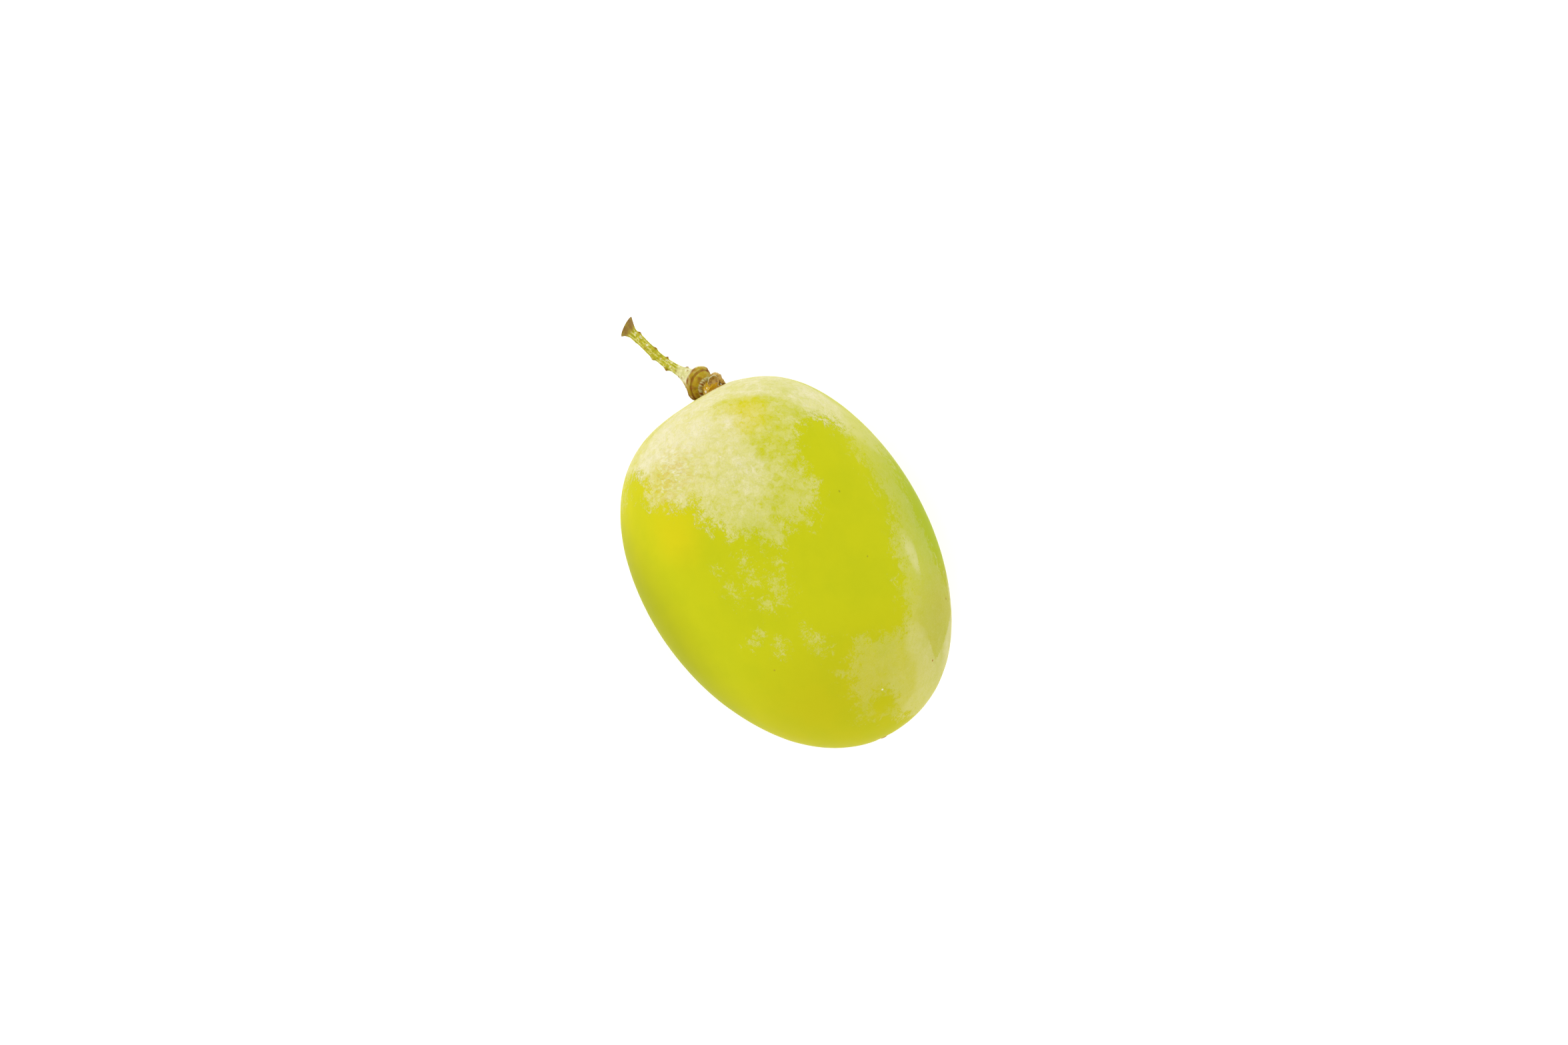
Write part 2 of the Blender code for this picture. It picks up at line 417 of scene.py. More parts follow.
    def values(self, points: np.ndarray, form: "Berry") -> dict[str, np.ndarray]:
        """Works out the wax at every vertex.

        Args:
            points: rows of x, y and z in mm.
            form: the berry that it lies on.

        Returns:
            How far each vertex is inside the coat and inside the thin film, in mm, and how
            thick the wax would be there.
        """
        below = np.maximum(0.0, form.axis_height / MM - points[:, 2] - self.retreat_from)
        waver = 1 + 0.4 * np.sin(0.5 * points[:, 0] + 0.35 * points[:, 1])
        coat = self.cover.inset(points) - self.retreat * below * waver
        for spot in self.islands:
            coat = np.maximum(coat, spot.inset(points, form) - (1 - spot.amount))
        for spot in self.rubbed:
            coat = np.minimum(coat, -spot.inset(points, form))
        weights = np.full(len(points), self.usual_weight)
        total = weights * self.usual
        for spot in self.thickness:
            weight = np.exp(-(spot.share(points, form) ** 2))
            total, weights = total + weight * spot.amount, weights + weight
        film = self.thin.inset(points) - self.film_retreat * below
        limits = {"coat": (coat, 3.0), "film": (film, 3.0), "wax": (total / weights, 1.0)}
        return {name: np.clip(field, -most, most) for name, (field, most) in limits.items()}


@dataclass
class Berry:
    """The fruit: one skin over its flesh, resting on a small flattened patch.

    Attributes:
        box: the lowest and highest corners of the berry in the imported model.
        bloom: the wax on it.
        stem_powers: exponents of the stalk half's outline, along and across.
        tip_powers: exponents of the tip half's outline, along and across.
        bow: how far both ends lie towards +Y of the middle, in metres.
        seat_offset: how far the stalk's seat lies towards +Y of the axis, in metres.
        rings: stations of vertices from end to end.
        meridians: vertices round each station.
        scar_at: where the style dropped off, in mm to the side of the tip and above it.
    """

    box: tuple[Vector, Vector]
    bloom: Bloom
    stem_powers: tuple[float, float] = (2.04, 2.82)
    tip_powers: tuple[float, float] = (1.89, 2.155)
    bow: float = 0.2 * MM
    seat_offset: float = 2.1 * MM
    rings: int = 240
    meridians: int = 330
    scar_at: tuple[float, float] = (-1.1 * MM, 0.35 * MM)

    @property
    def radius(self) -> float:
        """Half the berry's width."""
        return (self.box[1].y - self.box[0].y) / 2

    @property
    def axis_height(self) -> float:
        """Height of the long axis above the floor."""
        return self.box[1].z - self.radius

    def half(self, x: float) -> tuple[float, float, float]:
        """Gives the length and the exponents of the half that a station is in."""
        if x > 0:
            return (self.box[1].x, *self.tip_powers)
        return (-self.box[0].x, *self.stem_powers)

    def radius_at(self, x: float) -> float:
        """Gives the berry's radius at a station along it."""
        length, along, across = self.half(x)
        return self.radius * max(0.0, 1 - (abs(x) / length) ** along) ** (1 / across)

    def on_skin(self, x: float, y: float, under: bool = False) -> np.ndarray:
        """Finds the place of the skin above or below a place of the plan.

        Args:
            x: mm along the berry.
            y: mm to its side.
            under: whether the place on the underside is meant.

        Returns:
            The place's x, y and z in mm.
        """
        bowed = self.bow / MM * (x * MM / self.half(x)[0]) ** 2
        reach = self.radius_at(x * MM) / MM
        rise = math.sqrt(max(0.0, reach**2 - (y - bowed) ** 2))
        return np.array([x, y, self.axis_height / MM + (-rise if under else rise)])

    @property
    def seat(self) -> Vector:
        """Place where the stalk's axis meets the berry."""
        length, along, across = self.half(-1.0)
        off_axis = abs(self.seat_offset - self.bow) / self.radius
        x = -length * (1 - off_axis**across) ** (1 / along)
        return Vector((x, self.seat_offset, self.axis_height))

    @property
    def collar(self) -> Vector:
        """Middle of the corky collar round the stalk's seat, which isn't quite centred on it."""
        return self.seat + Vector((0.0, -0.4, 0.1)) * MM

    @property
    def scar(self) -> Vector:
        """Place where the flower's style dropped off, beside the tip."""
        y, z = self.scar_at
        return Vector((self.box[1].x - 0.08 * MM, self.bow + y, self.axis_height + z))

    def outline(self) -> tuple[np.ndarray, np.ndarray]:
        """Gives stations and radii at even steps along the outline, from stalk to tip."""
        angle = np.linspace(0.0, math.pi, 4000)
        cosine, sine = np.cos(angle), np.sin(angle)
        stem = cosine > 0
        along = np.where(stem, self.stem_powers[0], self.tip_powers[0])
        across = np.where(stem, self.stem_powers[1], self.tip_powers[1])
        length = np.where(stem, -self.box[0].x, self.box[1].x)
        x = -np.sign(cosine) * length * np.abs(cosine) ** (2 / along)
        r = self.radius * np.abs(sine) ** (2 / across)
        gone = np.concatenate([[0.0], np.cumsum(np.hypot(np.diff(x), np.diff(r)))])
        steps = np.linspace(0.0, gone[-1], self.rings + 1)
        return np.interp(steps, gone, x), np.interp(steps, gone, r)

    def relief(self, point: Vector) -> float:
        """Works out how far the skin stands out.

        Args:
            point: a place on the smooth form.

        Returns:
            The height in metres of slow swellings, of a shallow basin and corky collar at the
            stalk, and of the puckered scar at the tip.
        """
        swelling = 0.05 * MM * noise.noise(point / (6.5 * MM))
        ripple = 0.012 * MM * noise.noise(point / (1.3 * MM))
        from_seat = (point - self.seat).length
        basin = -0.20 * MM * math.exp(-((from_seat / (1.6 * MM)) ** 2))
        from_scar = (point - self.scar).length
        from_collar = (point - self.collar).length
        collar = 0.07 * MM * math.exp(-(((from_collar - 1.6 * MM) / (0.14 * MM)) ** 2))
        pit = -0.07 * MM * math.exp(-((from_scar / (0.22 * MM)) ** 2))
        lip = 0.06 * MM * math.exp(-(((from_scar - 0.42 * MM) / (0.16 * MM)) ** 2))
        return swelling + ripple + basin + collar + pit + lip

    def build(self, skin: bpy.types.Material) -> bpy.types.Object:
        """Builds the berry.

        Args:
            skin: the material of the whole berry.

        Returns:
            The piece, which stands for the CAD node berry.
        """
        x, r = self.outline()
        turn = turns(self.meridians)
        bowed = self.bow * (x / np.where(x > 0, self.box[1].x, -self.box[0].x)) ** 2
        grid = np.empty((len(x) - 2, self.meridians, 3))
        grid[..., 0] = x[1:-1, None]
        grid[..., 1] = bowed[1:-1, None] + r[1:-1, None] * np.sin(turn)
        grid[..., 2] = self.axis_height + r[1:-1, None] * np.cos(turn)
        ends = [(end, self.bow, self.axis_height) for end in (x[0], x[-1])]
        points = np.vstack([grid.reshape(-1, 3), ends])
        faces = tube_faces(len(x) - 2, self.meridians)
        last = len(points) - 2 - self.meridians
        for column in range(self.meridians):
            beside = (column + 1) % self.meridians
            faces.append((len(points) - 2, beside, column))
            faces.append((len(points) - 1, last + column, last + beside))
        values = self.bloom.values(points / MM, self)
        obj = mesh_object("grape_berry", points, faces, values)
        for vertex, normal in zip(obj.data.vertices, [v.normal.copy() for v in obj.data.vertices]):
            vertex.co += normal * self.relief(vertex.co)
            vertex.co.z = max(vertex.co.z, 0.0)
            vertex.co.x = min(max(vertex.co.x, self.box[0].x), self.box[1].x)
        return dress(obj, skin, ("berry",))


@dataclass(frozen=True)
class GrapeSkin:
    """Ripe white grape skin under patchy bloom.

    The skin is a thin waxed cuticle over juicy flesh. It gives the eye a clear, soft, deep
    yellow-green with little shine. Bloom is a dust of wax flakes, brushed about by handling. It
    gives the eye a pale, dry, streaky veil with torn edges. A flake is only some thousandths of
    a millimetre across, too fine to show, so flakes are drawn as clumps of flake_mm.

    Attributes:
        light: how much more light falls on it than on a card that just looks white.
        clear: colour of most of the bare skin.
        sunny: its colour on the shoulder that had the most sun.
        warm: its colour in two small places there.
        green: its colour on the far flank, and in blotches all over.
        olive: its colour on the half with the tip.
        dull: its colour beside the tip.
        shade: painted shade, which darkens the flank towards -Y and the underside.
        veil: colour of the thickest wax.
        tan: colour of the furrows where the skin is puckered: a tan tint, darkened as painted
            shade.
        glint: colour of the painted highlights on the folds between them.
        cork: colour of the outer ring round the stalk's seat and round the scar.
        flesh: colour inside that ring.
        clean_rough: roughness of bare skin.
        waxed_rough: roughness of the thickest wax.
        specular: specular level of both.
        flake_mm: size of a clump of flakes.
        strand_mm: size of the strands that the wax is brushed into.
        drift_mm: size of the lumps that it has drifted into.
        plate_mm: size of the plates that the thick coat has cracked into.
        plate_wax: how much more or less wax such a plate has than its neighbours.
        edge: mm outside and inside the coat's torn outline between which the wax sets in.
        film_wax: thickness of the wax in the thin film.
        scratch_wax: thickness of the wax heaped along fine scratches.
        brushed: middle and half sizes in mm of the part of the coat with most brush marks.
        peel: where the skin is puckered.
        peel_mm: size of a pucker.
        peel_turn: degrees from +X to the way that puckers run.
        peel_stretch: how much longer than peel_mm puckers are along, across and up.
        relief_mm: height of the puckers and of thick flakes.
        depth: mm that light travels in the flesh under the skin.
        specks: small dots on the skin, with their colours.
    """

    light: float
    clear: str = "#cacc1a"
    sunny: str = "#d7d11a"
    warm: str = "#dad01a"
    green: str = "#acba1a"
    olive: str = "#c6c119"
    dull: str = "#b8b51a"
    shade: str = "#e2e2e2"
    veil: str = "#f5edc2"
    tan: str = "#dcc040"
    glint: str = "#fffceb"
    cork: str = "#b0803a"
    flesh: str = "#c8a024"
    clean_rough: float = 0.42
    waxed_rough: float = 0.60
    specular: float = 0.012
    flake_mm: float = 0.24
    strand_mm: float = 0.75
    drift_mm: float = 2.4
    plate_mm: float = 0.5
    plate_wax: float = 0.09
    edge: tuple[float, float] = (-0.25, 0.60)
    film_wax: float = 0.11
    scratch_wax: float = 0.12
    brushed: tuple[tuple[float, float, float], ...] = ((-10.0, 1.0, 18.0), (10.5, 11.0, 13.0))
    peel: Spot = Spot(-9.6, -3.9, 3.0, 3.6)
    peel_mm: float = 0.30
    peel_turn: float = 58.0
    peel_stretch: tuple[float, float, float] = (2.4, 0.8, 1.2)
    relief_mm: float = 0.12
    depth: float = 0.9
    specks: tuple[tuple[Spot, str], ...] = (
        (Spot(12.3, 5.2, 0.12, 0.12), "#a8702c"),
        (Spot(9.0, 8.5, 0.12, 0.12), "#94662a"),
        # A small pale dot.
        (Spot(12.0, 0.9, 0.09, 0.10), "#f2f2dc"),
        (Spot(-2.0, 6.0, 0.12, 0.10), "#a9a824"),
        (Spot(3.1, 5.2, 0.08, 0.09), "#a9a52a"),
        (Spot(6.5, -5.0, 0.10, 0.10), "#b5a626"),
        (Spot(5.5, 7.0, 0.16, 0.13, under=True), "#94702c"),
        (Spot(-1.5, 2.5, 0.12, 0.14, under=True), "#9a7a2c"),
        (Spot(2.0, -8.0, 0.14, 0.12, under=True), "#9a7a2c"),
    )

    def near(
        self,
        tree: bpy.types.NodeTree,
        place: bpy.types.NodeSocket,
        middle: tuple[float, float, float],
        reach: tuple[float, float, float],
        hard: float,
    ) -> bpy.types.NodeSocket:
        """Draws a soft-edged patch.

        Args:
            tree: the skin's node tree.
            place: the point in mm.
            middle: the patch's middle in mm.
            reach: its half sizes in mm.
            hard: share of its half size at which it is still full.

        Returns:
            1 inside the patch, falling to 0 at its edge.
        """
        named = {"Location": middle, "Scale": reach}
        local = add(tree, "Mapping", place, vector_type="TEXTURE", named=named)
        distance = add(tree, "VectorMath", local, operation="LENGTH")
        return add(tree, "MapRange", distance, 1.0, hard, interpolation_type="SMOOTHSTEP")

    def wax_amount(
        self, tree: bpy.types.NodeTree, place: bpy.types.NodeSocket
    ) -> tuple[bpy.types.NodeSocket, bpy.types.NodeSocket]:
        """Draws the wax: torn at its edges, drifted in lumps and brushed into strands.

        Args:
            tree: the skin's node tree.
            place: the point in mm.

        Returns:
            0 on clean skin to 1 under the thickest wax, and the height of its flakes.
        """
        coat, film, wax = (
            add(tree, "Attribute", attribute_name=name).node.outputs["Fac"]
            for name in ("coat", "film", "wax")
        )
        strand = add(
            tree, "TexNoise", place, 1 / self.strand_mm, 5.0, 0.68, named={"Distortion": 0.7}
        )
        flake = add(
            tree, "TexNoise", place, 1 / self.flake_mm, 3.0, 0.6, named={"Distortion": 1.6}
        )
        drift = add(tree, "TexNoise", place, 1 / self.drift_mm, 3.0, 0.55)
        edge = add(tree, "Math", strand, 4.0, -2.0, operation="MULTIPLY_ADD")
        edge = add(tree, "Math", edge, coat, operation="ADD")
        small = add(tree, "Math", flake, 3.2, -1.6, operation="MULTIPLY_ADD")
        edge = add(tree, "Math", edge, small, operation="ADD")
        lies = add(tree, "MapRange", edge, *self.edge, interpolation_type="SMOOTHSTEP")
        lump = add(tree, "MapRange", drift, 0.36, 0.64, 0.72, 1.28)
        grain = add(tree, "MapRange", flake, 0.28, 0.72, 0.55, 1.45)
        fibre = add(tree, "MapRange", strand, 0.32, 0.68, 0.65, 1.35)
        texture = add(tree, "Math", lump, grain, operation="MULTIPLY")
        texture = add(tree, "Math", texture, fibre, operation="MULTIPLY")
        even = add(tree, "Math", wax, 0.8, operation="MULTIPLY", use_clamp=True)
        texture = add(tree, "Mix", even, texture, 1.0)
        slid = add(tree, "Math", small, 0.12, film, operation="MULTIPLY_ADD")
        slid = add(tree, "MapRange", slid, -0.04, 0.04, interpolation_type="SMOOTHSTEP")
        wax = add(tree, "Mix", slid, wax, self.film_wax)
        smooth = add(tree, "Math", slid, 0.6, operation="MULTIPLY")
        texture = add(tree, "Mix", smooth, texture, 1.0)
        brushed = self.near(tree, place, *self.brushed, 0.6)
        calm = add(tree, "MapRange", brushed, 0.0, 1.0, 0.55, 0.0)
        texture = add(tree, "Mix", calm, texture, 1.0)
        depth = add(tree, "Math", wax, texture, operation="MULTIPLY")
        patchy = add(tree, "Math", strand, 0.5, operation="SUBTRACT")
        strength = add(tree, "MapRange", brushed, 0.0, 1.0, 0.12, 0.40)
        patchy = add(tree, "Math", patchy, strength, operation="MULTIPLY")
        warp = add(tree, "TexNoise", place, 1 / self.plate_mm, 2.0, 0.5).node.outputs["Color"]
        warp = add(tree, "VectorMath", place, warp, operation="ADD")
        plates = add(tree, "TexVoronoi", warp, 1 / self.plate_mm).node.outputs["Color"]
        plates = add(tree, "MapRange", plates, 0.2, 0.8, -self.plate_wax, self.plate_wax)
        plates = add(tree, "Math", plates, brushed, operation="MULTIPLY")
        scratch = add(tree, "Math", flake, 0.5, operation="SUBTRACT")
        scratch = add(tree, "Math", scratch, operation="ABSOLUTE")
        scratch = add(tree, "MapRange", scratch, 0.0, 0.03, self.scratch_wax, 0.0)
        for extra in (patchy, scratch, plates):
            depth = add(tree, "Math", depth, extra, operation="ADD")
        depth = add(tree, "Math", depth, 0.0, operation="MAXIMUM")
        amount = add(tree, "Math", depth, lies, operation="MULTIPLY", use_clamp=True)
        return amount, add(tree, "Math", amount, flake, operation="MULTIPLY")

    def clean_skin(
        self, tree: bpy.types.NodeTree, place: bpy.types.NodeSocket
    ) -> bpy.types.NodeSocket:
        """Draws the bare skin: sunny on one shoulder, greener on the far flank, olive at the tip.

        Args:
            tree: the skin's node tree.
            place: the point in mm.

        Returns:
            The skin's colour.
        """
        share = 1 / self.light
        colour = linear(self.clear, share)
        for middle, reach, hard, hue in (
            ((-12.0, -4.0, 15.0), (11.0, 13.0, 14.0), 0.25, self.sunny),
            ((-5.6, -5.8, 19.0), (3.4, 2.6, 5.0), 0.10, self.warm),
            ((-10.9, 3.2, 18.5), (2.8, 3.0, 4.0), 0.20, self.warm),
            ((13.0, -1.0, 12.0), (13.0, 13.0, 14.0), 0.45, self.olive),
            ((5.0, 12.5, 12.0), (13.0, 7.0, 13.0), 0.35, self.green),
            ((12.0, 9.0, 14.0), (7.5, 6.5, 9.0), 0.35, self.dull),
        ):
            inside = self.near(tree, place, middle, reach, hard)
            colour = add(tree, "Mix", inside, colour, linear(hue, share), data_type="RGBA")
        blotch = add(tree, "TexNoise", place, 0.35, 3.0, 0.6)
        blotch = add(tree, "MapRange", blotch, 0.42, 0.66, 0.0, 0.16)
        green = linear(self.green, share)
        colour = add(tree, "Mix", blotch, colour, green, data_type="RGBA")
        shade = linear(self.shade)
        darken = {"data_type": "RGBA", "blend_type": "MULTIPLY"}
        # Painted shade: the flank towards -Y and the underside are multiplied by the shade colour.
        for middle, reach, hard in (
            ((0.0, -14.0, 10.0), (20.0, 8.0, 16.0), 0.5),
            ((0.0, 0.0, 0.0), (22.0, 18.0, 15.5), 0.4),
        ):
            low = self.near(tree, place, middle, reach, hard)
            colour = add(tree, "Mix", low, colour, shade, **darken)
        return colour

    def marks(
        self,
        tree: bpy.types.NodeTree,
        place: bpy.types.NodeSocket,
        form: Berry,
        colour: bpy.types.NodeSocket,
    ) -> bpy.types.NodeSocket:
        """Draws small dots, the corky ring round the stalk's seat and the scar at the tip.

        Args:
            tree: the skin's node tree.
            place: the point in mm.
            form: the berry that they lie on.
            colour: the skin without them.

        Returns:
            The skin with them.
        """
        share = 1 / self.light
        for speck, hue in self.specks:
            middle = tuple(form.on_skin(speck.x, speck.y, speck.under))
            reach = (speck.along, speck.across, speck.across)
            inside = self.near(tree, place, middle, reach, 0.5)
            colour = add(tree, "Mix", inside, colour, linear(hue, share), data_type="RGBA")
        torn = add(tree, "TexNoise", place, 1.6, 3.0, 0.6)
        torn = add(tree, "Math", torn, 1.0, -0.5, operation="MULTIPLY_ADD")
        cork, flesh = linear(self.cork, share), linear(self.flesh, share)
        for middle, cork_edge, flesh_edge in (
            (form.collar / MM, (1.95, 1.70), (1.45, 1.20)),
            (form.scar / MM, (0.84, 0.54), (0.26, 0.14)),
        ):
            away = add(tree, "VectorMath", place, middle, operation="DISTANCE")
            away = add(tree, "Math", away, torn, operation="ADD")
            for (outer, inner), hue in ((cork_edge, cork), (flesh_edge, flesh)):
                soft = {"interpolation_type": "SMOOTHSTEP"}
                inside = add(tree, "MapRange", away, outer, inner, **soft)
                colour = add(tree, "Mix", inside, colour, hue, data_type="RGBA")
        return colour

    def build(self, form: Berry) -> bpy.types.Material:
        """Builds the skin's material.

        Args:
            form: the berry that it covers, for the places of its marks.

        Returns:
            The material.
        """
        material, tree = empty_material("grape_skin_with_bloom")
        share = 1 / self.light
        place = place_in_mm(tree)
        wax, flakes = self.wax_amount(tree, place)
        colour = self.clean_skin(tree, place)
        veil = linear(self.veil, share)
        colour = add(tree, "Mix", wax, colour, veil, data_type="RGBA")
        colour = self.marks(tree, place, form, colour)
        middle = tuple(form.on_skin(self.peel.x, self.peel.y))
        reach = (self.peel.along, self.peel.across, self.peel.across)
        peel = self.near(tree, place, middle, reach, 0.2)
        turn = (0.0, 0.0, math.radians(self.peel_turn))
        named = {"Rotation": turn, "Scale": self.peel_stretch}
        turned = add(tree, "Mapping", place, vector_type="TEXTURE", named=named)
        pucker = add(
            tree, "TexNoise", turned, 1 / self.peel_mm, 2.0, 0.5, named={"Distortion": 0.8}
        )
        # Puckers are drawn in colour: painted shade, tinted tan, in their furrows, and painted
        # highlight on their folds.
        for low, high, most, hue in ((0.54, 0.36, 0.50, self.tan), (0.60, 0.72, 0.6, self.glint)):
            fold_shade_and_highlight = add(tree, "MapRange", pucker, low, high, 0.0, most)
            fold_shade_and_highlight = add(tree, "Math", fold_shade_and_highlight, peel, operation="MULTIPLY")
            colour = add(tree, "Mix", fold_shade_and_highlight, colour, linear(hue, share), data_type="RGBA")
        pucker = add(tree, "Math", pucker, peel, operation="MULTIPLY")
        height = add(tree, "Math", flakes, 0.5, pucker, operation="MULTIPLY_ADD")
        bump = add(tree, "Bump", 1.0, self.relief_mm * MM, named={"Height": height})
        span = self.waxed_rough - self.clean_rough
        rough = add(tree, "Math", wax, span, self.clean_rough, operation="MULTIPLY_ADD")
        shader = add(
            tree,
            "BsdfPrincipled",
            named={
                "Base Color": colour,
                "Roughness": rough,
                "Normal": bump,
                "IOR": 1.42,
                "Specular IOR Level": self.specular,
                "Subsurface Weight": 0.2,
                "Subsurface Radius": (1.0, 0.9, 0.25),
                "Subsurface Scale": self.depth * MM,
            },
        )
        add(tree, "OutputMaterial", shader)
        return material


# ---------------------------------------------------------------- the stalk


class Tissue(Enum):
    """The kinds of tissue from the berry to the heel, in order, with their colours."""

    FLESH = "#d9a91e"
    FIBRE = "#c6c184"
    INNER_RING = "#c3a51c"
    GROOVE = "#a0682a"
    OUTER_RING = "#bf9d22"
    LIP = "#efe8b6"
    FLARE = "#e6e19e"
    STALK = "#ccc42c"
    HEEL = "#99773a"
    TORN = "#8c6636"

    @property
    def rank(self) -> float:
        """Place of the tissue in the order."""
        return float(list(Tissue).index(self))


@dataclass(frozen=True)
class Wart:
    """A corky wart on the stalk.

    Attributes:
        along: mm from the seat along the stalk.
        turn: degrees round it, 0 on top and 90 on the +Y side.
        size: radius in mm.
        height: how far it stands out in mm.
        brown: how brown its tip is.
    """

    along: float
    turn: float
    size: float
    height: float
    brown: float = 0.8


@dataclass
class Pedicel:
    """Stalk with its receptacle at the berry and its torn heel at the other end, in one skin.

    Attributes:
        seat: where its axis meets the berry.
        yaw: degrees that the receptacle's axis turns from -X towards -Y.
        droop: degrees that it falls below level.
        columns: how many vertices there are in each ring.
        step: mm between rings.
        turned: the receptacle from the berry outwards: mm along the axis, radius in mm, tissue.
        oval_turn: degrees round it of the oval receptacle's longest radius.
        oval: share by which its shortest radius is less.
        spill_turn: degrees round it where the face's cork has spread over the lip.
        flare_top: mm from the seat at which the straight axis ends.
        bends: bends of the stalk's centre line, in mm from there.
        heel_radius: radius in mm of the torn heel.
        heel_tilt: degrees that its torn face is turned towards -Y, past square to the stalk.
        heel_length: mm over which the stalk widens into it.
        stalk_radius: radius of the bare stalk in mm.
        bulge: mm that the middle of the torn face stands out.
        face_rings: rings of vertices across the torn face.
        warts: its warts.
    """

    seat: Vector
    yaw: float = 25.0
    droop: float = 38.0
    columns: int = 144
    step: float = 0.03
    turned: tuple[tuple[float, float, Tissue], ...] = (
        (-0.70, 0.30, Tissue.FLESH),
        (-0.45, 0.86, Tissue.FLESH),
        (-0.05, 0.87, Tissue.FLESH),
        (0.18, 0.74, Tissue.FLESH),
        (0.40, 0.68, Tissue.FLESH),
        (0.44, 0.80, Tissue.FIBRE),
        (0.49, 0.88, Tissue.FIBRE),
        (0.62, 0.91, Tissue.FIBRE),
        (0.68, 0.88, Tissue.FIBRE),
        (0.72, 0.93, Tissue.INNER_RING),
        (0.88, 1.10, Tissue.INNER_RING),
        (1.08, 1.21, Tissue.INNER_RING),
        (1.14, 1.19, Tissue.GROOVE),
        (1.21, 1.24, Tissue.GROOVE),
        (1.24, 1.33, Tissue.OUTER_RING),
        (1.36, 1.41, Tissue.OUTER_RING),
        (1.46, 1.43, Tissue.OUTER_RING),
        (1.50, 1.46, Tissue.LIP),
        (1.58, 1.45, Tissue.LIP),
        (1.63, 1.36, Tissue.LIP),
        (1.75, 1.18, Tissue.FLARE),
        (2.00, 0.93, Tissue.FLARE),
        (2.40, 0.70, Tissue.FLARE),
        (3.00, 0.52, Tissue.FLARE),
        (3.60, 0.39, Tissue.FLARE),
        (4.10, 0.33, Tissue.STALK),
    )
    flare_top: float = 4.0
    bends: tuple[tuple[float, float, float], ...] = (
        (-0.84, -0.42, -0.40),
        (-1.68, -0.71, -0.64),
        (-2.40, -0.92, -0.85),
        (-3.30, -1.13, -1.03),
        (-4.02, -1.34, -1.17),
        (-4.88, -1.51, -1.34),
    )
    oval_turn: float = 28.0
    oval: float = 0.23
    spill_turn: float = -100.0
    heel_radius: float = 0.82
    heel_tilt: float = 20.0
    heel_length: float = 0.95
    stalk_radius: float = 0.33
    bulge: float = 0.16
    face_rings: int = 12
    warts: tuple[Wart, ...] = (
        Wart(3.20, 80, 0.20, 0.11, 1.0),
        Wart(3.35, -60, 0.12, 0.06, 0.9),
        Wart(2.75, -35, 0.10, 0.05, 0.7),
        Wart(2.60, 30, 0.11, 0.05, 0.6),
        Wart(2.25, -85, 0.12, 0.06, 1.0),
        Wart(3.75, -20, 0.10, 0.05, 0.6),
        Wart(4.75, -80, 0.20, 0.15, 0.8),
        Wart(4.95, -55, 0.14, 0.11, 0.3),
        Wart(5.25, 85, 0.15, 0.13, 1.0),
        Wart(5.60, 10, 0.12, 0.05, 0.2),
        Wart(6.10, -92, 0.22, 0.13, 0.2),
        Wart(6.45, 70, 0.25, 0.08, 0.5),
        Wart(7.05, -30, 0.15, 0.06, 0.3),
        Wart(7.30, 150, 0.16, 0.10, 0.7),
        Wart(7.75, 5, 0.12, 0.08, 0.1),
        Wart(8.05, 40, 0.14, 0.09, 0.1),
        Wart(8.20, 88, 0.22, 0.12, 1.0),
        Wart(5.90, 190, 0.20, 0.10, 0.7),
        Wart(4.40, 160, 0.16, 0.09, 0.8),
        Wart(8.00, -120, 0.18, 0.08, 0.6),
    )

    @property
    def outward(self) -> Vector:
        """Direction of the receptacle's axis, from the berry to the stalk."""
        yaw, droop = math.radians(self.yaw), math.radians(self.droop)
        level = Vector((-math.cos(yaw), -math.sin(yaw), 0.0))
        return level * math.cos(droop) - UP * math.sin(droop)

    def centre_line(self) -> tuple[np.ndarray, np.ndarray]:
        """Traces the centre line: straight through the receptacle, then through the bends.

        Returns:
            Points in mm from the seat, and how far along the line each one is.
        """
        straight = [self.outward * s for s in (-1.0, 0.0, 1.0, 2.0, 3.0, self.flare_top)]
        bent = [self.outward * self.flare_top + Vector(bend) for bend in self.bends]
        line = curve_through([np.array(point) for point in straight + bent], 40)
        gone = np.concatenate([[0.0], np.cumsum(np.linalg.norm(np.diff(line, axis=0), axis=1))])
        return line, gone - 1.0

    def rows(self, end: float) -> list[tuple[float, float, float]]:
        """Lists the rows of vertices from inside the berry to the middle of the torn end.

        Args:
            end: mm from the seat to the heel's end along the centre line.

        Returns:
            For each row its place along the line, its radius and the rank of its tissue.
        """
        made = []
        for (s0, r0, t0), (s1, r1, t1) in zip(self.turned, self.turned[1:]):
            count = max(2, round(math.hypot(s1 - s0, r1 - r0) / self.step))
            for share in np.linspace(0.0, 1.0, count, endpoint=False):
                rank = t0.rank + (t1.rank - t0.rank) * share
                made.append((s0 + (s1 - s0) * share, r0 + (r1 - r0) * share, rank))
        start = self.turned[-1][0]
        for s in np.linspace(start, end, round((end - start) / self.step) + 1):
            flared = max(0.0, (s - (end - self.heel_length)) / self.heel_length)
            radius = self.stalk_radius + (self.heel_radius - self.stalk_radius) * flared**1.8
            brown = clamp((flared - 0.15) / 0.5)
            made.append((s, radius, Tissue.STALK.rank + brown))
        for ring in range(1, self.face_rings + 1):
            share = 1 - (ring / self.face_rings) ** 0.8
            swell = self.bulge * (1 - share**2)
            made.append((end + swell, self.heel_radius * max(share, 0.02), Tissue.TORN.rank))
        return made

